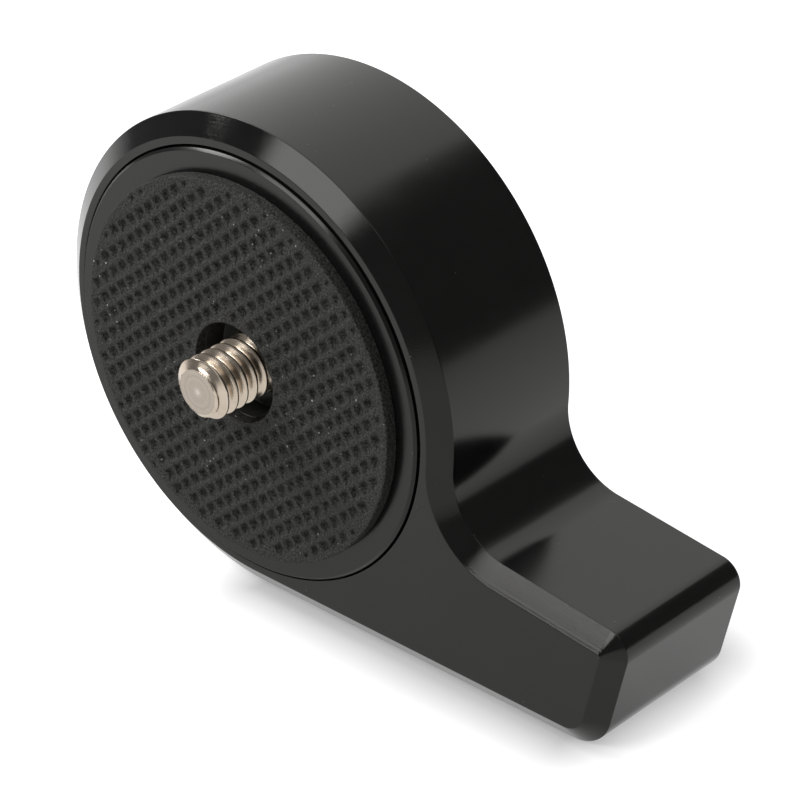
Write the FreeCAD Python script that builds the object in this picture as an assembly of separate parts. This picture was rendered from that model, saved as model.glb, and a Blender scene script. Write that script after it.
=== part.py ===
"""Camera mounting base: a round drum with a tail foot, carrying a panning turntable.

Millimetres, +Z up. The screw axis lies along Y, and the origin is on that axis in the plane
of the rubber pad's face, where a camera plate seats. The thread points to -Y and the tail to +X.
"""
import FreeCAD, Part
import math
import os

from FreeCAD import Rotation, Vector

# Body: the drum and its tail
drum_r = 25.0
body_depth = 19.1
rim_wall = 2.8             # drum left round the turntable's recess
bevel_in = 2.0             # edge bevel, measured in the plane of the outline
bevel_deep = 1.5           # edge bevel, measured along the axis
tail_tip_x = 46.3          # where the tail's top and end lines would cross
tail_tip_z = -11.6
tail_slope_deg = 6.7       # fall of the tail's top towards its tip
tail_lean_deg = 14.4       # undercut of the tail's end face
valley_r = 7.0             # hollow between the drum and the tail's top
nose_r = 0.3               # tip corner, on the bevel's inner edge
heel_r = 2.5               # lower corner, on the bevel's inner edge
web_t = 6.0                # wall that carries the hub
well_margin = 1.5          # radial room in the open rear well, round the rear washer

# Turntable: the disc and its hollow hub
disc_t = 4.0
disc_proud = 0.4           # disc face in front of the body's face
disc_chamfer = 0.25
rim_gap = 0.2              # radial gap between the disc and the body
hub_wall = 2.7
hub_lip = 1.5              # hub behind its retaining ring
screw_well_depth = 2.5     # well in the disc round the screw, as wide as the pad's hole
screw_floor_t = 4.5        # metal between that well and the screw head's seat
play = 0.05                # axial running play between bodies

# Friction pad, bonded to the disc's face
pad_margin = 2.35          # disc left bare round the pad
pad_hole_r = 5.1
pad_t = 1.25
pad_chamfer = 0.15
pit_pitch = 1.63
pit_turn_deg = 39.8        # angle of the pit rows to the horizontal
pit_shift_along = 0.92     # from the screw axis to the nearest row, along and across the rows
pit_shift_across = 1.065
pit_mouth = 1.3
pit_depth = 0.6
pit_border = 0.1           # plain rubber left round the field of pits

# Captive camera screw
thread_r = 6.35 / 2
thread_reach = 4.8         # thread in front of the pad's face
thread_tip_chamfer = 0.6
thread_clear = 0.2         # end of the thread in front of its well's floor
relief_r = 2.5
relief_len = 1.2
shank_r = 3.0
screw_bore_clear = 0.325   # radial, round the thread
head_r = 7.0
head_h = 4.5
head_clear = 0.3           # radial, in the hub
head_chamfer = 0.5
socket_across = 5.0        # hexagon key, across its flats
socket_depth = 3.0

# Bearings and rings
bush_t = 1.45
bush_fit = 0.01            # radial, bush in the body
bush_clear = 0.05          # radial, hub in the bush
washer_t = 0.5
washer_clear = 0.5         # radial, thrust washers round the hub
front_washer_margin = 2.0  # disc left bare round the front washer
rear_washer_width = 5.0
spring_width = 4.0
spring_t = 0.6
spring_h = 1.0             # height under load
ring_t = 1.2
ring_clear = 0.05          # in its groove
ring_groove = 0.6
ring_width = 2.6
ring_gap = 3.0             # opening between the ring's ends
lug_r = 1.5
lug_hole_r = 0.7
snap_t = 0.9
snap_groove = 0.6
snap_width = 1.3
snap_gap = 3.0
screw_washer_t = 0.5

# Planes across the axis, from front to back
disc_face_y = pad_t
body_front_y = disc_face_y + disc_proud
screw_well_y = disc_face_y + screw_well_depth
disc_back_y = disc_face_y + disc_t
recess_floor_y = disc_back_y + play + washer_t
web_back_y = recess_floor_y + web_t
spring_y = web_back_y + washer_t + play
ring_y = spring_y + spring_h
hub_end_y = ring_y + ring_t + hub_lip
body_back_y = body_front_y + body_depth
head_seat_y = screw_well_y + screw_floor_t
head_y = head_seat_y + play + screw_washer_t
snap_y = head_y + head_h + 2 * play

# Radii that follow from the walls and fits, from the drum inwards and from the screw outwards
recess_r = drum_r - rim_wall
disc_r = recess_r - rim_gap
pad_r = disc_r - pad_margin
front_washer_r = disc_r - front_washer_margin
screw_bore_r = thread_r + screw_bore_clear
head_bore_r = head_r + head_clear
snap_groove_r = head_bore_r + snap_groove
hub_r = head_bore_r + hub_wall
ring_groove_r = hub_r - ring_groove
bush_bore_r = hub_r + bush_clear
bush_seat_r = bush_bore_r + bush_t + bush_fit
washer_bore_r = hub_r + washer_clear
spring_r = washer_bore_r + spring_width
rear_washer_r = washer_bore_r + rear_washer_width
rear_well_r = rear_washer_r + well_margin

ORIGIN = Vector(0, 0, 0)
AXIS = Vector(0, 1, 0)
UP = Vector(0, 0, 1)
OVERCUT = 1.0              # how far a cutter runs past the face it opens


def turned(profile):
    """Solid of revolution about the screw axis, from (radius, y) corners."""
    corners = [Vector(radius, y, 0) for radius, y in profile]
    face = Part.Face(Part.makePolygon(corners + corners[:1]))
    return face.revolve(ORIGIN, AXIS, 360)


def tube(inner_r, outer_r, y, length):
    """Plain ring or sleeve on the screw axis."""
    return turned([(inner_r, y), (outer_r, y), (outer_r, y + length), (inner_r, y + length)])


def block(centre_x, centre_z, y, width, height, length):
    """Box with its front face at y, centred on (centre_x, centre_z)."""
    corner = Vector(centre_x - width / 2, y, centre_z - height / 2)
    return Part.makeBox(width, length, height, corner)


def meet(normal_a, reach_a, normal_b, reach_b):
    """Point of the XZ plane that lies reach_a along normal_a and reach_b along normal_b."""
    det = normal_a.x * normal_b.z - normal_a.z * normal_b.x
    x = (reach_a * normal_b.z - reach_b * normal_a.z) / det
    z = (reach_b * normal_a.x - reach_a * normal_b.x) / det
    return Vector(x, 0, z)


def unit(vector):
    return vector * (1 / vector.Length)


def outline(inset, y):
    """Side outline of the body at the plane y, moved inwards by inset."""
    slope = math.radians(tail_slope_deg)
    lean = math.radians(tail_lean_deg)
    top_out = Vector(math.sin(slope), 0, math.cos(slope))
    top_along = Vector(math.cos(slope), 0, -math.sin(slope))
    end_out = Vector(math.cos(lean), 0, -math.sin(lean))
    floor_out = -UP
    tip = Vector(tail_tip_x, 0, tail_tip_z)
    top_reach = tip.dot(top_out)
    end_reach = tip.dot(end_out)

    drum = drum_r - inset
    valley = valley_r + inset
    nose = nose_r + bevel_in - inset
    heel = heel_r + bevel_in - inset
    nose_back = nose_r + bevel_in
    heel_back = heel_r + bevel_in

    valley_up = top_reach - inset + valley
    valley_side = math.sqrt((drum + valley) ** 2 - valley_up ** 2)
    valley_c = top_out * valley_up + top_along * valley_side
    nose_c = meet(top_out, top_reach - nose_back, end_out, end_reach - nose_back)
    heel_c = meet(floor_out, drum_r - heel_back, end_out, end_reach - heel_back)

    to_drum = unit(-valley_c)
    drum_side = -to_drum * drum
    drum_foot = floor_out * drum
    drum_far = -unit(drum_side + drum_foot) * drum
    valley_mid = valley_c + unit(to_drum - top_out) * valley
    top_start = valley_c - top_out * valley
    top_end = nose_c + top_out * nose
    nose_mid = nose_c + unit(top_out + end_out) * nose
    end_start = nose_c + end_out * nose
    end_stop = heel_c + end_out * heel
    heel_mid = heel_c + unit(end_out + floor_out) * heel
    floor_start = heel_c + floor_out * heel

    edges = [
        Part.Arc(drum_foot, drum_far, drum_side),
        Part.Arc(drum_side, valley_mid, top_start),
        Part.LineSegment(top_start, top_end),
        Part.Arc(top_end, nose_mid, end_start),
        Part.LineSegment(end_start, end_stop),
        Part.Arc(end_stop, heel_mid, floor_start),
        Part.LineSegment(floor_start, drum_foot),
    ]
    wire = Part.Wire([edge.toShape() for edge in edges])
    wire.translate(AXIS * y)
    return wire


def body():
    """Drum and tail from one plate, bevelled all round, bored through in steps."""
    front_edge_y = body_front_y + bevel_deep
    back_edge_y = body_back_y - bevel_deep
    core = Part.Face(outline(0, front_edge_y)).extrude(AXIS * (back_edge_y - front_edge_y))
    front_bevel = Part.makeLoft([outline(bevel_in, body_front_y), outline(0, front_edge_y)], True, True)
    back_bevel = Part.makeLoft([outline(0, back_edge_y), outline(bevel_in, body_back_y)], True, True)
    blank = core.fuse([front_bevel, back_bevel]).removeSplitter()
    bores = turned([
        (0, body_front_y - OVERCUT),
        (recess_r, body_front_y - OVERCUT),
        (recess_r, recess_floor_y),
        (bush_seat_r, recess_floor_y),
        (bush_seat_r, web_back_y),
        (rear_well_r, web_back_y),
        (rear_well_r, body_back_y + OVERCUT),
        (0, body_back_y + OVERCUT),
    ])
    return blank.cut(bores)


def turntable():
    """Disc with a chamfered rim and a well round the screw, and the hollow hub behind it."""
    ring_groove_end = ring_y + ring_t + ring_clear
    snap_groove_end = snap_y + snap_t + ring_clear
    return turned([
        (screw_bore_r, screw_well_y),
        (pad_hole_r, screw_well_y),
        (pad_hole_r, disc_face_y),
        (disc_r - disc_chamfer, disc_face_y),
        (disc_r, disc_face_y + disc_chamfer),
        (disc_r, disc_back_y),
        (hub_r, disc_back_y),
        (hub_r, ring_y),
        (ring_groove_r, ring_y),
        (ring_groove_r, ring_groove_end),
        (hub_r, ring_groove_end),
        (hub_r, hub_end_y),
        (head_bore_r, hub_end_y),
        (head_bore_r, snap_groove_end),
        (snap_groove_r, snap_groove_end),
        (snap_groove_r, snap_y),
        (head_bore_r, snap_y),
        (head_bore_r, head_seat_y),
        (screw_bore_r, head_seat_y),
    ])


def pit_places():
    """Centres of the pits: a square grid, turned, of those that lie wholly between the pad's edges."""
    half = pit_mouth / 2
    nearest = pad_hole_r + pit_border
    farthest = pad_r - pad_chamfer - pit_border
    turn = Rotation(AXIS, -pit_turn_deg)
    rows = math.ceil(pad_r / pit_pitch) + 1
    places = []
    for row in range(-rows, rows + 1):
        for column in range(-rows, rows + 1):
            along = row * pit_pitch + pit_shift_along
            across = column * pit_pitch + pit_shift_across
            near_edge = math.hypot(max(abs(along) - half, 0), max(abs(across) - half, 0))
            far_corner = math.hypot(abs(along) + half, abs(across) + half)
            if nearest <= near_edge and far_corner <= farthest:
                places.append(turn.multVec(Vector(along, 0, across)))
    return places


def pit():
    """Pit cutter at the axis: a pyramid, from its square mouth to its tip in the rubber."""
    half = pit_mouth / 2
    mouth = [Vector(half, 0, half), Vector(-half, 0, half), Vector(-half, 0, -half), Vector(half, 0, -half)]
    tip = Vector(0, pit_depth, 0)
    faces = [Part.Face(Part.makePolygon(mouth + mouth[:1]))]
    for k in range(4):
        faces.append(Part.Face(Part.makePolygon([mouth[k - 1], mouth[k], tip, mouth[k - 1]])))
    pyramid = Part.Solid(Part.Shell(faces))
    pyramid.rotate(ORIGIN, AXIS, -pit_turn_deg)
    return pyramid


def friction_pad():
    """Rubber ring with a chamfered rim and a field of square pits."""
    ring = turned([
        (pad_hole_r, 0),
        (pad_r - pad_chamfer, 0),
        (pad_r, pad_chamfer),
        (pad_r, pad_t),
        (pad_hole_r, pad_t),
    ])
    cutter = pit()
    return ring.cut(Part.makeCompound([cutter.translated(place) for place in pit_places()]))


def camera_screw():
    """Captive screw: plain thread blank, relief, shank, and a head with a hexagon socket."""
    thread_end_y = screw_well_y - thread_clear
    tip_y = -thread_reach
    head_end_y = head_y + head_h
    blank = turned([
        (0, tip_y),
        (thread_r - thread_tip_chamfer, tip_y),
        (thread_r, tip_y + thread_tip_chamfer),
        (thread_r, thread_end_y),
        (relief_r, thread_end_y),
        (relief_r, thread_end_y + relief_len),
        (shank_r, thread_end_y + relief_len),
        (shank_r, head_y),
        (head_r, head_y),
        (head_r, head_end_y - head_chamfer),
        (head_r - head_chamfer, head_end_y),
        (0, head_end_y),
    ])
    corner_r = socket_across / math.sqrt(3)
    turns = [math.radians(60 * k) for k in range(7)]
    socket_y = head_end_y - socket_depth
    hexagon = [Vector(corner_r * math.cos(t), socket_y, corner_r * math.sin(t)) for t in turns]
    socket = Part.Face(Part.makePolygon(hexagon)).extrude(AXIS * (socket_depth + OVERCUT))
    return blank.cut(socket)


def disc_spring():
    """Conical spring washer: its outer edge bears on the washer, its inner edge on the ring."""
    cone_h = spring_h - spring_t
    return turned([
        (washer_bore_r, spring_y + cone_h),
        (washer_bore_r, spring_y + spring_h),
        (spring_r, spring_y + spring_t),
        (spring_r, spring_y),
    ])


def hub_retaining_ring():
    """Open ring in the hub's outer groove, with a plier hole in the lug at each end."""
    inner_r = ring_groove_r + ring_clear
    ring = tube(inner_r, inner_r + ring_width, ring_y, ring_t)
    lug_z = inner_r + ring_width
    opening = block(0, lug_z, ring_y - OVERCUT, ring_gap, 2 * lug_z, ring_t + 2 * OVERCUT)
    ring = ring.cut(opening)
    for side in (-1, 1):
        place = Vector(side * (ring_gap / 2 + lug_r), ring_y, lug_z)
        lug = Part.makeCylinder(lug_r, ring_t, place, AXIS)
        hole = Part.makeCylinder(lug_hole_r, ring_t + 2 * OVERCUT, place - AXIS * OVERCUT, AXIS)
        ring = ring.fuse(lug).cut(hole)
    return ring.removeSplitter()


def screw_snap_ring():
    """Open wire ring in the hub's inner groove, behind the screw's head."""
    outer_r = snap_groove_r - ring_clear
    ring = tube(outer_r - snap_width, outer_r, snap_y, snap_t)
    opening = block(0, -outer_r, snap_y - OVERCUT, snap_gap, 2 * snap_width + outer_r, snap_t + 2 * OVERCUT)
    return ring.cut(opening)


def pieces():
    """Every piece of the base, by name."""
    front_washer_y = disc_back_y + play
    return {
        "body": body(),
        "turntable": turntable(),
        "friction_pad": friction_pad(),
        "camera_screw": camera_screw(),
        "hub_bush": tube(bush_bore_r, bush_bore_r + bush_t, recess_floor_y, web_t),
        "front_thrust_washer": tube(washer_bore_r, front_washer_r, front_washer_y, washer_t),
        "rear_thrust_washer": tube(washer_bore_r, rear_washer_r, web_back_y, washer_t),
        "disc_spring": disc_spring(),
        "hub_retaining_ring": hub_retaining_ring(),
        "screw_washer": tube(shank_r + head_clear, head_r - head_clear, head_seat_y + play, screw_washer_t),
        "screw_snap_ring": screw_snap_ring(),
    }


os.makedirs("parts", exist_ok=True)
for name, shape in pieces().items():
    shape.exportStep("parts/" + name + ".step")
    print(name, shape.isValid(), len(shape.Solids), round(shape.Volume, 1), shape.BoundBox)
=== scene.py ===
"""Looks of the ballhead base: fine meshes, finishes, floor, light and camera.

Shapes are written in millimetres, in the part's own frame, and become metres in the meshes:
+Z is up, the screw axis lies along Y with the thread towards -Y, and the tail points to +X.
"""

import math

import bmesh
import bpy
from mathutils import Matrix, Vector
from mathutils.geometry import delaunay_2d_cdt


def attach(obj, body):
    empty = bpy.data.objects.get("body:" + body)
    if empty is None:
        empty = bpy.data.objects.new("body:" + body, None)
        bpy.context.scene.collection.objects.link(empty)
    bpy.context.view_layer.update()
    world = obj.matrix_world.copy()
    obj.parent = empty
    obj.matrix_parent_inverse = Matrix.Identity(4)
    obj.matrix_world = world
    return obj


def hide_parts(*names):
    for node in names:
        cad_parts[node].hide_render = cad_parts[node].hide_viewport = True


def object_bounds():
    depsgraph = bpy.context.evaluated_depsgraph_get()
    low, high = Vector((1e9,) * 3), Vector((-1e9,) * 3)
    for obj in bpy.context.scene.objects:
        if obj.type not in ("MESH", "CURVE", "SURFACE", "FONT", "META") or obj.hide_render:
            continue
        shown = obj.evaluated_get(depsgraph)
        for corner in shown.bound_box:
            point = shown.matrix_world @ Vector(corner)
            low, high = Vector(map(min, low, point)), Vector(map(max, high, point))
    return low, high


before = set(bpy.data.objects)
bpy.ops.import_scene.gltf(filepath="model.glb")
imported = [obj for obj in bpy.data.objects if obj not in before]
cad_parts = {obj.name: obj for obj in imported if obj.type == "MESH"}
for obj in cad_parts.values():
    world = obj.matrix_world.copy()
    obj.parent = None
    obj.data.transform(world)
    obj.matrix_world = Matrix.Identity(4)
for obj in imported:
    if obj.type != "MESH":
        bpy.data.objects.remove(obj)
cad_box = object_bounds()

MM = 0.001

# Body, with the same sizes as its solid
DRUM_R = 25.0
FRONT_Y = 1.65
BACK_Y = 20.75
BEVEL_IN = 2.0
BEVEL_DEEP = 1.5
TAIL_TIP = Vector((46.3, -11.6))
TAIL_SLOPE = math.radians(6.7)
TAIL_LEAN = math.radians(14.4)
VALLEY_R = 7.0
NOSE_R = 0.3
HEEL_R = 2.5
RECESS_R = 22.2
RECESS_FLOOR_Y = 5.8
BUSH_SEAT_R = 11.51
WEB_BACK_Y = 11.8
REAR_WELL_R = 17.0
EDGE_BREAK = 0.4            # chamfer on the turned rear edges, which the solids leave square

# Turntable
DISC_R = 22.0
DISC_Y = 1.25
DISC_BACK_Y = 5.25
DISC_CHAMFER = 0.25
HUB_R = 10.0
HUB_END_Y = 16.05
RING_GROOVE_R = 9.4
RING_GROOVE_Y = (13.35, 14.6)
SNAP_GROOVE_R = 7.9
SNAP_GROOVE_Y = (13.4, 14.35)
HEAD_BORE_R = 7.3
HEAD_SEAT_Y = 8.25
SCREW_BORE_R = 3.5
SCREW_WELL_Y = 3.75

# Friction pad
PAD_R = 19.65
PAD_HOLE_R = 5.1
PAD_EDGE_R = 0.15
PIT_PITCH = 1.63
PIT_TURN = math.radians(39.8)
PIT_SHIFT = Vector((0.92, 1.065))
PIT_MOUTH = 1.3
PIT_DEPTH = 0.6
PIT_BORDER = 0.1            # rubber left between a pit and the pad's edges
PIT_SIZES = (1, 0.85, 0.7, 0.55, 0.45)      # shares of the mouth that are tried near an edge
PIT_EDGE_OUT = 0.05         # the pit's softened edge reaches this far out of its mouth
PIT_EDGE_IN = 0.04          # and this far into it
PIT_LEAN = Vector((-1, 0.45))               # side on which the pits are deepest, along their rows
PAD_BACK_EDGE_R = 0.05
PAD_HOLE_EDGE_R = 0.03

# Camera screw
THREAD_R = 3.175
THREAD_ROOT_R = 2.45
THREAD_PITCH = 1.27
THREAD_TIP_Y = -4.8
THREAD_END_Y = 3.55
THREAD_TIP_CHAMFER = 0.9    # across the axis
THREAD_TIP_RISE = 0.55      # along it
THREAD_SOFT = (0.02, 0.1)   # drops from the crest, and rises from the root, that soften them
RELIEF_R = 2.5
RELIEF_END_Y = 4.75
SHANK_R = 3.0
HEAD_R = 7.0
HEAD_Y = 8.8
HEAD_END_Y = 13.3
HEAD_CHAMFER = 0.5
SOCKET_ACROSS = 5.0
SOCKET_DEPTH = 3.0
SOCKET_CHAMFER = (0.35, 0.3)                # across the corners, and along the axis

# Fineness of the meshes
EDGE_R = 0.12               # rounding of the metal edges
CORNER_STEPS = 4            # along each rounded edge
TURN_STEPS = 192
SCREW_STEPS = 96
DRUM_STEPS = 220
VALLEY_STEPS = 40
TAIL_STEPS = 12
TAIL_CORNER_STEPS = 24
FOOT_STEPS = 40
PIT_CORNER_STEPS = 3
THREAD_STEPS = 4            # along each straight part of the thread's profile
SPARE_TURNS = 1.5           # of the thread past each end, cut off again
FACE_STRIP = 0.25           # flat strip beside the bevel, inside which the face is covered
BORE_STRIP = 0.2            # flat strip round a bore
HEAD_STRIP = 0.3            # flat strip inside the head's chamfer
PAD_STRIP = 0.02            # flat strip inside the pad's rounded rim
RELIEF_OVERLAP = 0.2        # length of the relief inside the thread
ROUND_OFF = 1e-3            # smaller differences count as none
CUT_TOLERANCE = 1e-5
MERGE_DISTANCE = 1e-4
COVER_TOLERANCE = 1e-7
SHARP_DEG = 35              # edges sharper than this stay sharp
PAD_SHARP_DEG = 60


class Shape:
    """Points in millimetres and faces between them, collected ring by ring."""

    def __init__(self):
        self.points = []
        self.faces = []
        self.finishes = []

    def ring(self, points):
        first = len(self.points)
        self.points.extend(points)
        return list(range(first, len(self.points)))

    def face(self, corners, finish=0):
        self.faces.append(corners)
        self.finishes.append(finish)

    def skin(self, ring_a, ring_b, finish=0):
        """Quads between two closed rings with as many points each."""
        for k, (a, b) in enumerate(zip(ring_a, ring_b)):
            self.face((ring_a[k - 1], a, b, ring_b[k - 1]), finish)

    def skins(self, rings, finish=0):
        for ring_a, ring_b in zip(rings, rings[1:]):
            self.skin(ring_a, ring_b, finish)

    def cover(self, outer, holes=(), finish=0):
        """Flat triangles across the axis, inside a counter-clockwise ring and outside its holes."""
        corners = []
        loops = []
        for ring in [outer, *holes]:
            loops.append(list(range(len(corners), len(corners) + len(ring))))
            corners += ring
        flat = [Vector((self.points[index][0], self.points[index][2])) for index in corners]
        _, _, triangles, sources, _, insides = delaunay_2d_cdt(flat, [], loops, 1, COVER_TOLERANCE)
        for triangle, inside in zip(triangles, insides):
            if list(inside) == [0]:
                self.face([corners[sources[vertex][0]] for vertex in triangle], finish)

    def piece(self, name, materials, body, replaced, sharp_deg=SHARP_DEG):
        """Makes the object, in metres, with smooth faces that keep their sharp edges."""
        mesh = bpy.data.meshes.new(name)
        mesh.from_pydata([Vector(point) * MM for point in self.points], [], self.faces)
        for material in materials:
            mesh.materials.append(material)
        mesh.polygons.foreach_set("material_index", self.finishes)
        work = bmesh.new()
        work.from_mesh(mesh)
        bmesh.ops.recalc_face_normals(work, faces=work.faces)
        work.to_mesh(mesh)
        work.free()
        mesh.shade_smooth()
        mesh.set_sharp_from_angle(angle=math.radians(sharp_deg))
        made = bpy.data.objects.new(name, mesh)
        bpy.context.scene.collection.objects.link(made)
        weighted = made.modifiers.new("weighted_normals", "WEIGHTED_NORMAL")
        weighted.keep_sharp = True
        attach(made, body)
        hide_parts(replaced)


def rounded(corners, closed=False):
    """Line through corners (a, b, radius), with each corner that has a radius drawn as an arc."""
    line = []
    count = len(corners)
    for k, (a, b, radius) in enumerate(corners):
        here = Vector((a, b))
        if not radius or (not closed and k in (0, count - 1)):
            line.append(here)
            continue
        before = (Vector(corners[k - 1][:2]) - here).normalized()
        after = (Vector(corners[(k + 1) % count][:2]) - here).normalized()
        half = before.angle(after) / 2
        centre = here + (before + after).normalized() * (radius / math.sin(half))
        start = here + before * (radius / math.tan(half)) - centre
        turn = start.angle_signed(here + after * (radius / math.tan(half)) - centre)
        for step in range(CORNER_STEPS + 1):
            line.append(centre + Matrix.Rotation(-turn * step / CORNER_STEPS, 2) @ start)
    return line


def circle(radius, y, steps=TURN_STEPS):
    turns = [2 * math.pi * k / steps for k in range(steps)]
    return [(radius * math.cos(t), y, radius * math.sin(t)) for t in turns]


def lathe(shape, profile, steps=TURN_STEPS, closed=False):
    """Rings of a turned surface about the screw axis, from (radius, y) points."""
    rings = [shape.ring(circle(radius, y, steps)) for radius, y in profile]
    shape.skins(rings + rings[:1] if closed else rings)
    return rings


def on_arc(centre, radius, start, stop, steps, hollow=False):
    """Points of an arc, each with the direction out of the metal. The last point is left out."""
    found = []
    for k in range(steps):
        t = start + (stop - start) * k / steps
        out = Vector((math.cos(t), math.sin(t)))
        found.append((centre + out * radius, -out if hollow else out))
    return found


def on_line(start, stop, out, steps):
    return [(start.lerp(stop, k / steps), out) for k in range(steps)]


def meet(normal_a, reach_a, normal_b, reach_b):
    """Point that lies reach_a along normal_a and reach_b along normal_b."""
    det = normal_a.cross(normal_b)
    x = (reach_a * normal_b.y - reach_b * normal_a.y) / det
    z = (reach_b * normal_a.x - reach_a * normal_b.x) / det
    return Vector((x, z))


def outline():
    """Side outline of the body in (x, z), counter-clockwise, as points with outward directions."""
    top_out = Vector((math.sin(TAIL_SLOPE), math.cos(TAIL_SLOPE)))
    top_along = Vector((math.cos(TAIL_SLOPE), -math.sin(TAIL_SLOPE)))
    end_out = Vector((math.cos(TAIL_LEAN), -math.sin(TAIL_LEAN)))
    floor_out = Vector((0, -1))
    nose = NOSE_R + BEVEL_IN
    heel = HEEL_R + BEVEL_IN
    top_reach = TAIL_TIP.dot(top_out)
    end_reach = TAIL_TIP.dot(end_out)

    valley_up = top_reach + VALLEY_R
    valley_side = math.sqrt((DRUM_R + VALLEY_R) ** 2 - valley_up ** 2)
    valley_c = top_out * valley_up + top_along * valley_side
    nose_c = meet(top_out, top_reach - nose, end_out, end_reach - nose)
    heel_c = meet(floor_out, DRUM_R - heel, end_out, end_reach - heel)

    down = -math.pi / 2
    side = math.atan2(valley_c.y, valley_c.x)
    top = math.pi / 2 - TAIL_SLOPE
    top_start = valley_c - top_out * VALLEY_R
    end_start = nose_c + end_out * nose
    floor_start = heel_c + floor_out * heel
    clockwise = (
        on_arc(Vector((0, 0)), DRUM_R, down, side - 2 * math.pi, DRUM_STEPS)
        + on_arc(valley_c, VALLEY_R, side + math.pi, top + math.pi, VALLEY_STEPS, hollow=True)
        + on_line(top_start, nose_c + top_out * nose, top_out, TAIL_STEPS)
        + on_arc(nose_c, nose, top, -TAIL_LEAN, TAIL_CORNER_STEPS)
        + on_line(end_start, heel_c + end_out * heel, end_out, TAIL_STEPS)
        + on_arc(heel_c, heel, -TAIL_LEAN, down, TAIL_CORNER_STEPS)
        + on_line(floor_start, floor_out * DRUM_R, floor_out, FOOT_STEPS)
    )
    return clockwise[::-1]


def body_piece(materials):
    """Drum and tail: rounded bevels round the outline, recess, bush seat and rear well."""
    shape = Shape()
    edge = outline()
    section = rounded([
        (BEVEL_IN + FACE_STRIP, FRONT_Y, 0),
        (BEVEL_IN, FRONT_Y, EDGE_R),
        (0, FRONT_Y + BEVEL_DEEP, EDGE_R),
        (0, BACK_Y - BEVEL_DEEP, EDGE_R),
        (BEVEL_IN, BACK_Y, EDGE_R),
        (BEVEL_IN + FACE_STRIP, BACK_Y, 0),
    ])
    sides = []
    for inset, y in section:
        moved = [point - out * inset for point, out in edge]
        sides.append(shape.ring([(point.x, y, point.y) for point in moved]))
    for k, (ring_a, ring_b) in enumerate(zip(sides, sides[1:])):
        across = section[k + 1] - section[k]
        bevelled = min(abs(across.x), abs(across.y)) > ROUND_OFF
        shape.skin(ring_a, ring_b, 1 if bevelled else 0)
    bores = lathe(shape, rounded([
        (RECESS_R + BORE_STRIP, FRONT_Y, 0),
        (RECESS_R, FRONT_Y, EDGE_R / 2),
        (RECESS_R, RECESS_FLOOR_Y, EDGE_R),
        (BUSH_SEAT_R, RECESS_FLOOR_Y, EDGE_R),
        (BUSH_SEAT_R, WEB_BACK_Y, EDGE_R),
        (REAR_WELL_R, WEB_BACK_Y, EDGE_R),
        (REAR_WELL_R, BACK_Y - EDGE_BREAK, EDGE_R),
        (REAR_WELL_R + EDGE_BREAK, BACK_Y, EDGE_R),
        (REAR_WELL_R + EDGE_BREAK + BORE_STRIP, BACK_Y, 0),
    ]))
    shape.cover(sides[0], [bores[0]])
    shape.cover(sides[-1], [bores[-1]])
    shape.piece("body_shell", materials, "base", "body")


def turntable_piece(materials):
    """Disc with a chamfered rim and a well round the screw, and the hub with two ring grooves."""
    shape = Shape()
    small = EDGE_R / 2
    lathe(shape, rounded([
        (SCREW_BORE_R, SCREW_WELL_Y, EDGE_R),
        (PAD_HOLE_R, SCREW_WELL_Y, EDGE_R),
        (PAD_HOLE_R, DISC_Y, small),
        (DISC_R - DISC_CHAMFER, DISC_Y, small),
        (DISC_R, DISC_Y + DISC_CHAMFER, small),
        (DISC_R, DISC_BACK_Y, EDGE_R),
        (HUB_R, DISC_BACK_Y, EDGE_R),
        (HUB_R, RING_GROOVE_Y[0], small),
        (RING_GROOVE_R, RING_GROOVE_Y[0], small),
        (RING_GROOVE_R, RING_GROOVE_Y[1], small),
        (HUB_R, RING_GROOVE_Y[1], small),
        (HUB_R, HUB_END_Y - EDGE_BREAK, EDGE_R),
        (HUB_R - EDGE_BREAK, HUB_END_Y, EDGE_R),
        (HEAD_BORE_R + EDGE_BREAK, HUB_END_Y, EDGE_R),
        (HEAD_BORE_R, HUB_END_Y - EDGE_BREAK, EDGE_R),
        (HEAD_BORE_R, SNAP_GROOVE_Y[1], small),
        (SNAP_GROOVE_R, SNAP_GROOVE_Y[1], small),
        (SNAP_GROOVE_R, SNAP_GROOVE_Y[0], small),
        (HEAD_BORE_R, SNAP_GROOVE_Y[0], small),
        (HEAD_BORE_R, HEAD_SEAT_Y, EDGE_R),
        (SCREW_BORE_R, HEAD_SEAT_Y, EDGE_R),
    ], closed=True), closed=True)
    shape.piece("turntable_disc", materials, "turntable", "turntable")


def pit_places():
    """Centres and half widths of the pits: a turned square grid, with smaller pits at the edges."""
    rows = range(-math.ceil(PAD_R / PIT_PITCH) - 1, math.ceil(PAD_R / PIT_PITCH) + 2)
    turn = Matrix.Rotation(PIT_TURN, 2)
    least = PAD_HOLE_R + PIT_BORDER
    most = PAD_R - PAD_EDGE_R - PIT_BORDER
    found = []
    for place in (Vector((u, v)) * PIT_PITCH + PIT_SHIFT for u in rows for v in rows):
        for share in PIT_SIZES:
            half = PIT_MOUTH / 2 * share
            near_edge = math.hypot(max(abs(place.x) - half, 0), max(abs(place.y) - half, 0))
            far_corner = math.hypot(abs(place.x) + half, abs(place.y) + half)
            if least <= near_edge and far_corner <= most:
                found.append((turn @ place, half))
                break
    return found


def soft_square(centre, half, corner_r, y):
    """Square with rounded corners, turned with the pit rows."""
    turn = Matrix.Rotation(PIT_TURN, 2)
    found = []
    for k in range(4):
        quarter = math.pi / 2 * k + math.pi / 4
        diagonal = Vector((math.cos(quarter), math.sin(quarter)))
        corner = diagonal * math.sqrt(2) * (half - corner_r)
        for step in range(PIT_CORNER_STEPS + 1):
            t = math.pi / 2 * (k + step / PIT_CORNER_STEPS)
            place = centre + turn @ (corner + Vector((math.cos(t), math.sin(t))) * corner_r)
            found.append((place.x, y, place.y))
    return found


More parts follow.
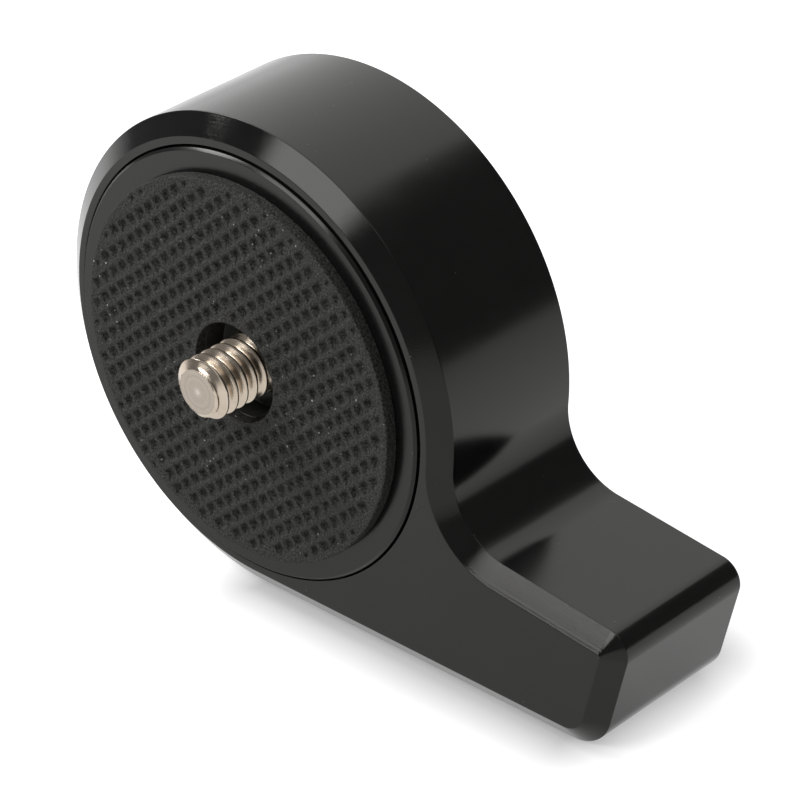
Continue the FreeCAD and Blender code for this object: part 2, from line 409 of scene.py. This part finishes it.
def pad_piece(materials):
    """Rubber ring with a softened rim and a field of tapered pits, deepest to the upper left."""
    shape = Shape()
    profile = rounded([
        (PAD_R - PAD_EDGE_R - PAD_STRIP, 0, 0),
        (PAD_R, 0, PAD_EDGE_R),
        (PAD_R, DISC_Y, PAD_BACK_EDGE_R),
        (PAD_HOLE_R, DISC_Y, PAD_HOLE_EDGE_R),
        (PAD_HOLE_R, 0, PAD_HOLE_EDGE_R),
        (PAD_HOLE_R + 2 * PAD_STRIP, 0, 0),
    ])
    rings = lathe(shape, profile)
    upper_left = Matrix.Rotation(PIT_TURN, 2) @ PIT_LEAN
    mouths = []
    for centre, mouth in pit_places():
        depth = PIT_DEPTH * 2 * mouth / PIT_MOUTH
        levels = [              # half width, corner radius, lean, y
            (mouth + PIT_EDGE_OUT, mouth * 0.3, 0.0, 0.0),
            (mouth - PIT_EDGE_IN, mouth * 0.3, 0.0, PIT_EDGE_IN),
            (mouth * 0.5, mouth * 0.2, mouth * 0.32, depth * 0.5),
            (mouth * 0.12, mouth * 0.1, mouth * 0.52, depth * 0.85),
        ]
        pit = [
            shape.ring(soft_square(centre + upper_left * lean, half, corner_r, y))
            for half, corner_r, lean, y in levels
        ]
        shape.skins(pit)
        shape.face(pit[-1])
        mouths.append(pit[0])
    shape.cover(rings[0], [rings[-1], *mouths])
    shape.piece("rubber_pad", materials, "turntable", "friction_pad", PAD_SHARP_DEG)


def thread_profile():
    """Section of one turn of the thread, from root to root over the crest, as (rise, radius)."""
    crest = THREAD_PITCH / 16
    root = THREAD_PITCH / 8
    half = THREAD_PITCH / 2
    little, more = THREAD_SOFT
    side = [
        (0, THREAD_R),
        (crest, THREAD_R - little),
        (crest * 1.5, THREAD_R - more),
        (half - root * 1.1, THREAD_ROOT_R + more),
        (half - root * 0.6, THREAD_ROOT_R + little),
        (half, THREAD_ROOT_R),
    ]
    corners = [(-rise, radius) for rise, radius in side[:0:-1]] + side
    return [
        Vector(start).lerp(Vector(stop), step / THREAD_STEPS)
        for start, stop in zip(corners, corners[1:])
        for step in range(THREAD_STEPS)
    ]


def thread(shape):
    """Right-hand thread: a grid along the helix, cut square at its ends and chamfered at its tip."""
    profile = thread_profile()
    turns = math.ceil((THREAD_END_Y - THREAD_TIP_Y) / THREAD_PITCH + 2 * SPARE_TURNS)
    start_y = THREAD_TIP_Y - SPARE_TURNS * THREAD_PITCH
    flat_r = THREAD_R - THREAD_TIP_CHAMFER
    work = bmesh.new()
    columns = []
    for c in range(SCREW_STEPS):
        t = 2 * math.pi * c / SCREW_STEPS
        column = []
        for turn in range(turns):
            for rise, radius in profile:
                y = start_y + (turn + c / SCREW_STEPS) * THREAD_PITCH + rise
                behind_tip = max(y - THREAD_TIP_Y, 0)
                r = min(radius, flat_r + behind_tip * THREAD_TIP_CHAMFER / THREAD_TIP_RISE)
                column.append(work.verts.new((r * math.sin(t), y, r * math.cos(t))))
        columns.append(column)
    lead = len(profile)
    neighbours = columns[1:] + [columns[0][lead:]]
    for here, there in zip(columns, neighbours):
        for k in range(len(there) - 1):
            work.faces.new((here[k], here[k + 1], there[k + 1], there[k]))
    for y, out in ((THREAD_TIP_Y, -1), (THREAD_END_Y, 1)):
        everything = work.verts[:] + work.edges[:] + work.faces[:]
        bmesh.ops.bisect_plane(work, geom=everything, dist=CUT_TOLERANCE, plane_co=(0, y, 0),
                               plane_no=(0, out, 0), clear_outer=True)
    bmesh.ops.remove_doubles(work, verts=work.verts, dist=MERGE_DISTANCE)
    border = [e for e in work.edges if e.is_boundary]
    bmesh.ops.holes_fill(work, edges=border)
    work.verts.index_update()
    first = len(shape.points)
    shape.points.extend(tuple(v.co) for v in work.verts)
    for made in work.faces:
        faced = all(v.co.y < THREAD_TIP_Y + ROUND_OFF for v in made.verts)
        shape.face([first + v.index for v in made.verts], 1 if faced else 0)
    work.free()


def screw_piece(materials):
    """Camera screw: helical thread, relief, shank, and the head with its hexagon socket."""
    shape = Shape()
    thread(shape)
    rings = lathe(shape, rounded([
        (RELIEF_R, THREAD_END_Y - RELIEF_OVERLAP, 0),
        (RELIEF_R, RELIEF_END_Y, EDGE_R),
        (SHANK_R, RELIEF_END_Y, EDGE_R),
        (SHANK_R, HEAD_Y, EDGE_R),
        (HEAD_R, HEAD_Y, EDGE_R),
        (HEAD_R, HEAD_END_Y - HEAD_CHAMFER, EDGE_R),
        (HEAD_R - HEAD_CHAMFER, HEAD_END_Y, EDGE_R),
        (HEAD_R - HEAD_CHAMFER - HEAD_STRIP, HEAD_END_Y, 0),
    ]), SCREW_STEPS)
    shape.cover(rings[0])
    corner_r = SOCKET_ACROSS / math.sqrt(3)
    levels = [
        (corner_r + SOCKET_CHAMFER[0], HEAD_END_Y),
        (corner_r, HEAD_END_Y - SOCKET_CHAMFER[1]),
        (corner_r, HEAD_END_Y - SOCKET_DEPTH),
    ]
    socket = [shape.ring(circle(radius, y, 6)) for radius, y in levels]
    shape.skins(socket)
    shape.cover(socket[-1])
    shape.cover(rings[-1], [socket[0]])
    shape.piece("screw", materials, "camera_screw", "camera_screw")


def grey(level):
    return (level, level, level, 1)


# Colours, most of them in pairs between which a noise mixes
BLACK_SKIN = (0.005, 0.005, 0.0052, 1), grey(0.008)
WELL_PAINTED_FILL_LIGHT = (0.045, 0.045, 0.042, 1)       # painted fill light: a lighter black round the screw, which lifts the shade in the well
METAL_DUST = (0.25, 0.24, 0.22, 1)
RUBBER_SKIN = (0.015, 0.015, 0.014, 1), (0.095, 0.095, 0.089, 1)
RUBBER_DUST = (0.5, 0.5, 0.47, 1)
NICKEL_PLATED = (0.72, 0.63, 0.53, 1), (0.6, 0.5, 0.39, 1)
NICKEL_FACED = (0.34, 0.29, 0.24, 1), (0.57, 0.5, 0.43, 1)
NICKEL_CENTRE = (0.62, 0.57, 0.51, 1)       # the mark that the facing tool left
BRONZE = (0.36, 0.23, 0.11, 1), (0.62, 0.43, 0.23, 1)
PTFE_WHITE = (0.78, 0.78, 0.75, 1), (0.86, 0.86, 0.84, 1)
PHOSPHATE = (0.14, 0.14, 0.145, 1), (0.26, 0.26, 0.265, 1)
SCREEN_GREY = grey(0.25), grey(0.31)

# Usual range of a noise, and measures of marks in mm
NOISE_LOW = 0.3
NOISE_HIGH = 0.7
MARK_DEPTH = 0.004          # of cutter marks and of fine grain
BEVEL_GRAIN_DEPTH = 0.007
PAINTED_FILL_BLEND = (0.05, 0.15)   # past the well's edge, where the painted fill light ends
CENTRE_MARK_R = (0.2, 0.4)  # radii between which the screw tip's centre mark fades


class Finish:
    """A procedural material: its node tree and its Principled shader."""

    def __init__(self, name, **values):
        self.material = bpy.data.materials.new(name)
        self.material.use_nodes = True
        self.tree = self.material.node_tree
        self.shader = self.tree.nodes["Principled BSDF"]
        for key, value in values.items():
            self.shader.inputs[key.replace("_", " ")].default_value = value
        self.place = self.node("TexCoord").outputs["Object"]

    def node(self, kind, inputs=None, **settings):
        """New node; an input is either another node's output or a plain value."""
        made = self.tree.nodes.new("ShaderNode" + kind)
        for key, value in settings.items():
            setattr(made, key, value)
        for key, value in (inputs or {}).items():
            self.feed(made.inputs[key], value)
        return made

    def feed(self, socket, value):
        if isinstance(value, bpy.types.NodeSocket):
            self.tree.links.new(value, socket)
        else:
            socket.default_value = value

    def noise(self, size_mm, detail=2.0):
        """Soft noise whose grains are about size_mm across."""
        inputs = {"Vector": self.place, "Scale": 1 / (size_mm * MM), "Detail": detail}
        return self.node("TexNoise", inputs).outputs["Fac"]

    def lines(self, measure, size_mm, detail=3.0):
        """Noise that changes only with one measure, so that it draws lines or rings."""
        inputs = {"W": measure, "Scale": 1 / (size_mm * MM), "Detail": detail}
        return self.node("TexNoise", inputs, noise_dimensions="1D").outputs["Fac"]

    def radius(self):
        """Distance from the screw axis."""
        flat = self.node("VectorMath", {0: self.place, 1: (1, 0, 1)}, operation="MULTIPLY")
        return self.node("VectorMath", {0: flat.outputs[0]}, operation="LENGTH").outputs["Value"]

    def depth(self):
        """Place along the screw axis."""
        return self.node("SeparateXYZ", {"Vector": self.place}).outputs["Y"]

    def specks(self, spacing_mm, size):
        """Rare small dots: 0 outside, and past 1, which a mix takes as 1, in a dot's middle."""
        inputs = {"Vector": self.place, "Scale": 1 / (spacing_mm * MM)}
        spot = self.node("TexVoronoi", inputs).outputs["Distance"]
        return self.mapped(spot, size, 0, 0, 2)

    def mapped(self, value, low, high, to_low, to_high):
        """Maps low to to_low and high to to_high, and keeps within them."""
        inputs = {"Value": value, "From Min": low, "From Max": high}
        inputs |= {"To Min": to_low, "To Max": to_high}
        return self.node("MapRange", inputs).outputs["Result"]

    def spread(self, noise, to_low, to_high):
        """Maps the usual range of a noise to two values."""
        return self.mapped(noise, NOISE_LOW, NOISE_HIGH, to_low, to_high)

    def mixed(self, factor, colour_a, colour_b):
        """Colour between two; sockets 6, 7 and output 2 are those of a Mix node set to colours."""
        made = self.node("Mix", {"Factor": factor}, data_type="RGBA")
        self.feed(made.inputs[6], colour_a)
        self.feed(made.inputs[7], colour_b)
        return made.outputs[2]

    def bump(self, heights):
        """Chains bumps from (height, depth in mm) pairs into the shader's normal."""
        normal = None
        for height, depth_mm in heights:
            inputs = {"Height": height, "Distance": depth_mm * MM, "Strength": 1.0}
            made = self.node("Bump", inputs)
            if normal:
                self.feed(made.inputs["Normal"], normal)
            normal = made.outputs["Normal"]
        self.feed(self.shader.inputs["Normal"], normal)

    def set(self, key, value):
        self.feed(self.shader.inputs[key], value)


def anodised(name, marks):
    """Black anodised aluminium: a clear hard skin over black, with fine cutter marks and dust."""
    made = Finish(name, IOR=1.42, Specular_Tint=(1, 1, 0.95, 1))
    cloud = made.noise(size_mm=6.0)
    colour = made.mixed(cloud, *BLACK_SKIN)
    grain = made.noise(size_mm=0.12)
    if marks == "turned":
        rough = 0.18
        heights = [(made.lines(made.radius(), size_mm=0.11), MARK_DEPTH), (grain, MARK_DEPTH)]
        # painted fill light: a lighter black in the well round the screw lifts its shade
        painted_fill_full, painted_fill_none = ((PAD_HOLE_R + past) * MM for past in PAINTED_FILL_BLEND)
        well = made.mapped(made.radius(), painted_fill_full, painted_fill_none, 1, 0)
        colour = made.mixed(well, colour, WELL_PAINTED_FILL_LIGHT)
    elif marks == "milled":
        rough = 0.08
        heights = [(made.lines(made.depth(), size_mm=0.12), MARK_DEPTH), (grain, BEVEL_GRAIN_DEPTH)]
    else:
        rough = 0.15
        heights = [(grain, MARK_DEPTH)]
    dust = made.specks(spacing_mm=1.7, size=0.035)
    made.set("Base Color", made.mixed(dust, colour, METAL_DUST))
    made.set("Roughness", made.spread(cloud, rough, rough + 0.04))
    made.bump(heights)
    return made.material


def rubber():
    """Matte moulded rubber with a fine uneven skin and a little pale dust."""
    made = Finish("pad_rubber", IOR=1.5, Specular_IOR_Level=0.15)
    patch = made.noise(size_mm=0.2, detail=4.0)
    contrast = made.mapped(patch, 0.35, 0.65, 0, 1)
    colour = made.mixed(contrast, *RUBBER_SKIN)
    dusty = made.mapped(made.noise(size_mm=7.0), 0.42, 0.6, 0.03, 0.12)
    dust = made.specks(spacing_mm=1.0, size=dusty)
    made.set("Base Color", made.mixed(dust, colour, RUBBER_DUST))
    made.set("Roughness", made.spread(patch, 0.6, 0.75))
    made.bump([(made.noise(size_mm=0.25, detail=4.0), 0.3), (made.noise(size_mm=0.08), 0.08)])
    return made.material


def nickel(name, faced):
    """Nickel-plated steel, warm and slightly tarnished; a faced end shows its turned rings."""
    made = Finish(name, Metallic=1.0)
    tarnish = made.noise(size_mm=0.9, detail=5.0)
    if faced:
        rings = made.mixed(made.lines(made.radius(), size_mm=0.3), *NICKEL_FACED)
        mark_full, mark_none = (radius * MM for radius in CENTRE_MARK_R)
        centre = made.mapped(made.radius(), mark_full, mark_none, 1, 0)
        made.set("Base Color", made.mixed(centre, rings, NICKEL_CENTRE))
        made.set("Roughness", made.spread(tarnish, 0.2, 0.32))
    else:
        made.set("Base Color", made.mixed(tarnish, *NICKEL_PLATED))
        made.set("Roughness", made.spread(tarnish, 0.16, 0.27))
    lines = made.lines(made.radius(), size_mm=0.12)
    made.bump([(lines, MARK_DEPTH), (made.noise(size_mm=0.1), 0.0015)])
    return made.material


def bronze():
    """Sintered bronze with open pores."""
    made = Finish("sintered_bronze", Metallic=1.0)
    pores = made.noise(size_mm=0.15, detail=4.0)
    made.set("Base Color", made.mixed(pores, *BRONZE))
    made.set("Roughness", made.spread(pores, 0.5, 0.32))
    made.bump([(pores, 0.01)])
    return made.material


def ptfe():
    """White slippery plastic, faintly mottled, skived in rings."""
    made = Finish("white_ptfe", IOR=1.38)
    mottle = made.noise(size_mm=1.2, detail=3.0)
    made.set("Base Color", made.mixed(mottle, *PTFE_WHITE))
    made.set("Roughness", made.spread(mottle, 0.42, 0.55))
    made.bump([(made.lines(made.radius(), size_mm=0.2), 0.003)])
    return made.material


def spring_steel():
    """Dark phosphated spring steel with a crystalline grain."""
    made = Finish("phosphated_steel", Metallic=1.0)
    grain = made.noise(size_mm=0.18, detail=4.0)
    made.set("Base Color", made.mixed(grain, *PHOSPHATE))
    made.set("Roughness", made.spread(grain, 0.34, 0.5))
    made.bump([(grain, MARK_DEPTH)])
    return made.material


# The four pieces with fine meshes of their own
body_piece([anodised("anodised_smooth", "plain"), anodised("anodised_bevel", "milled")])
turntable_piece([anodised("anodised_turned", "turned")])
pad_piece([rubber()])
screw_piece([nickel("nickel_plate", False), nickel("nickel_faced", True)])

# The pieces inside, which keep the solids' meshes
kept_nodes = [
    (bronze(), ("hub_bush",)),
    (ptfe(), ("front_thrust_washer", "rear_thrust_washer", "screw_washer")),
    (spring_steel(), ("disc_spring", "hub_retaining_ring", "screw_snap_ring")),
]
for finish, node_names in kept_nodes:
    for node_name in node_names:
        cad_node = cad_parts[node_name]
        if not cad_node.material_slots:
            cad_node.data.materials.append(finish)
        for material_slot in cad_node.material_slots:
            material_slot.material = finish

# Floor, in metres: white through its glow, with the object's shadow kept in its diffuse part, a
# painted shadow where the glow is less round the foot, and painted shade in reflections in front of
# the object
FLOOR_Z = cad_box[0][2]
FLOOR_HALF = 3.0
FLOOR_ALBEDO = 0.68
FLOOR_GLOW_IN_PAINTED_SHADOW = 0.22      # painted shadow: the glow where the foot stands
FLOOR_GLOW_FAR = 0.87       # away from it
PAINTED_SHADOW_SPREAD = 0.007     # width of the painted shadow, over which the glow grows
FLOOR_GLOW_MIRRORED_PAINTED_SHADE = 0.36     # painted shade: the glow in reflections, in front of the object
FLOOR_GLOW_BACK = 0.75      # in reflections, beside and behind it
PAINTED_SHADE_RAMP = 0.012     # depth over which the one becomes the other, where the painted shade fades out
FOOT_CENTRE = (0.0195, 0.0112, FLOOR_Z)
FOOT_HALF = (0.0195, 0.0095, 1.0)


def white_to_view(tree):
    """1 for rays from the camera and in reflections or glass, and 0 for diffuse light."""
    path = tree.nodes.new("ShaderNodeLightPath")
    seen = path.outputs["Is Camera Ray"]
    for name in ("Is Glossy Ray", "Is Transmission Ray"):
        either = tree.nodes.new("ShaderNodeMath")
        either.operation = "MAXIMUM"
        tree.links.new(seen, either.inputs[0])
        tree.links.new(path.outputs[name], either.inputs[1])
        seen = either.outputs[0]
    return seen


def floor_finish_with_painted_shadow():
    """Floor that glows white to the camera, with a painted shadow where it glows less beside the
    foot, and dimmer in reflections, with painted shade in front of the object.
    """
    made = Finish("floor_white_painted_shadow", Roughness=1.0, Specular_IOR_Level=0.0)
    made.set("Base Color", grey(FLOOR_ALBEDO))
    made.set("Emission Color", grey(1))

    def step(kind, operation, *inputs):
        return made.node(kind, dict(enumerate(inputs)), operation=operation).outputs[0]

    from_foot = step("VectorMath", "SUBTRACT", made.place, FOOT_CENTRE)
    outside = step("VectorMath", "SUBTRACT", step("VectorMath", "ABSOLUTE", from_foot), FOOT_HALF)
    outside = step("VectorMath", "MAXIMUM", outside, (0, 0, 0))
    away = made.node("VectorMath", {0: outside}, operation="LENGTH").outputs["Value"]
    # painted shadow: the glow is less near the foot, so the floor darkens round it
    glow = made.mapped(away, 0, PAINTED_SHADOW_SPREAD, FLOOR_GLOW_IN_PAINTED_SHADOW, FLOOR_GLOW_FAR)
    path = made.node("LightPath").outputs
    mirrored = step("Math", "MAXIMUM", path["Is Glossy Ray"], path["Is Transmission Ray"])
    # painted shade: in reflections the floor glows less in front of the object than beside and
    # behind it
    mirrored_glow_painted_shade = made.mapped(made.depth(), 0, PAINTED_SHADE_RAMP, FLOOR_GLOW_MIRRORED_PAINTED_SHADE, FLOOR_GLOW_BACK)
    mirrored = step("Math", "MULTIPLY", mirrored, mirrored_glow_painted_shade)
    strength = step("Math", "MULTIPLY_ADD", path["Is Camera Ray"], glow, mirrored)
    made.set("Emission Strength", strength)
    return made.material


def flat_mesh(name, corners, faces):
    mesh = bpy.data.meshes.new(name)
    mesh.from_pydata(corners, [], faces)
    made = bpy.data.objects.new(name, mesh)
    bpy.context.scene.collection.objects.link(made)
    return made


floor_corners = [
    (x * FLOOR_HALF, y * FLOOR_HALF, FLOOR_Z) for x, y in ((-1, -1), (1, -1), (1, 1), (-1, 1))
]
floor = flat_mesh("floor", floor_corners, [(0, 1, 2, 3)])
floor.data.materials.append(floor_finish_with_painted_shadow())

# Dark curved screen round the right, the front and the left, which the camera looks through
SCREEN_R = 0.32
SCREEN_BOTTOM = 0.0
SCREEN_TOP = 0.38
SCREEN_FROM = math.radians(80)
SCREEN_TO = math.radians(-187)
SCREEN_STEPS = 48
screen_corners = []
for k in range(SCREEN_STEPS + 1):
    t = SCREEN_FROM + (SCREEN_TO - SCREEN_FROM) * k / SCREEN_STEPS
    for z in (SCREEN_BOTTOM, SCREEN_TOP):
        screen_corners.append((SCREEN_R * math.cos(t), SCREEN_R * math.sin(t), z))
screen_faces = [(k, k + 1, k + 3, k + 2) for k in range(0, 2 * SCREEN_STEPS, 2)]
screen = flat_mesh("dark_screen", screen_corners, screen_faces)
screen_black = Finish("screen_black", Roughness=1.0)
screen_black.set("Base Color", screen_black.mixed(screen_black.noise(size_mm=40.0), *SCREEN_GREY))
screen.data.materials.append(screen_black.material)
screen.visible_camera = False

# World: white behind the object and in reflections, and a plain soft light on it
WORLD_LIGHT = 0.3
world = bpy.data.worlds.new("studio")
bpy.context.scene.world = world
world.use_nodes = True
world_tree = world.node_tree
strength = world_tree.nodes.new("ShaderNodeMapRange")
strength.inputs["To Min"].default_value = WORLD_LIGHT
strength.inputs["To Max"].default_value = 1.0
world_tree.links.new(white_to_view(world_tree), strength.inputs["Value"])
background = world_tree.nodes["Background"]
background.inputs["Color"].default_value = grey(1)
world_tree.links.new(strength.outputs["Result"], background.inputs["Strength"])


def softbox(name, direction, distance, width, height, radiance):
    """Area light that faces the object, with a given brightness of its own face."""
    data = bpy.data.lights.new(name, "AREA")
    data.shape = "RECTANGLE"
    data.size = width
    data.size_y = height
    data.energy = radiance * math.pi * width * height
    made = bpy.data.objects.new(name, data)
    bpy.context.scene.collection.objects.link(made)
    aim = Vector(direction).normalized()
    made.location = aim * distance
    made.rotation_euler = aim.to_track_quat("Z", "Y").to_euler()
    made.visible_camera = False


# The first two stand inside the dark screen, or it would block them
softbox("key", (-0.19, -0.74, 0.68), distance=0.3, width=0.18, height=0.15, radiance=4.4)
softbox("left", (-0.72, -0.25, 0.65), distance=0.28, width=0.11, height=0.11, radiance=9.0)
softbox("back_left", (-0.53, 0.6, 0.6), distance=0.5, width=0.78, height=0.78, radiance=0.4)

# Camera, as fitted to the drum's circles and the tail's edges in the photograph
CAMERA_AT = Vector((0.22277, -0.21244, 0.17791))
CAMERA_RIGHT = Vector((0.73319802, 0.67975889, -0.01866863))
CAMERA_DOWN = Vector((0.33358508, -0.38346169, -0.86120737))
CAMERA_FORWARD = Vector((-0.59257207, 0.62520796, -0.50791077))
CAMERA_LENS_MM = 170.09
CAMERA_SENSOR_MM = 36.0
CAMERA_CLIP_START = 0.01
camera_data = bpy.data.cameras.new("camera")
camera_data.lens = CAMERA_LENS_MM
camera_data.sensor_width = CAMERA_SENSOR_MM
camera_data.clip_start = CAMERA_CLIP_START
camera = bpy.data.objects.new("camera", camera_data)
bpy.context.scene.collection.objects.link(camera)
axes = Matrix((CAMERA_RIGHT, -CAMERA_DOWN, -CAMERA_FORWARD)).transposed()
camera.matrix_world = Matrix.Translation(CAMERA_AT) @ axes.to_4x4()
bpy.context.scene.camera = camera

bpy.context.scene.view_settings.view_transform = "Standard"

bpy.context.view_layer.update()
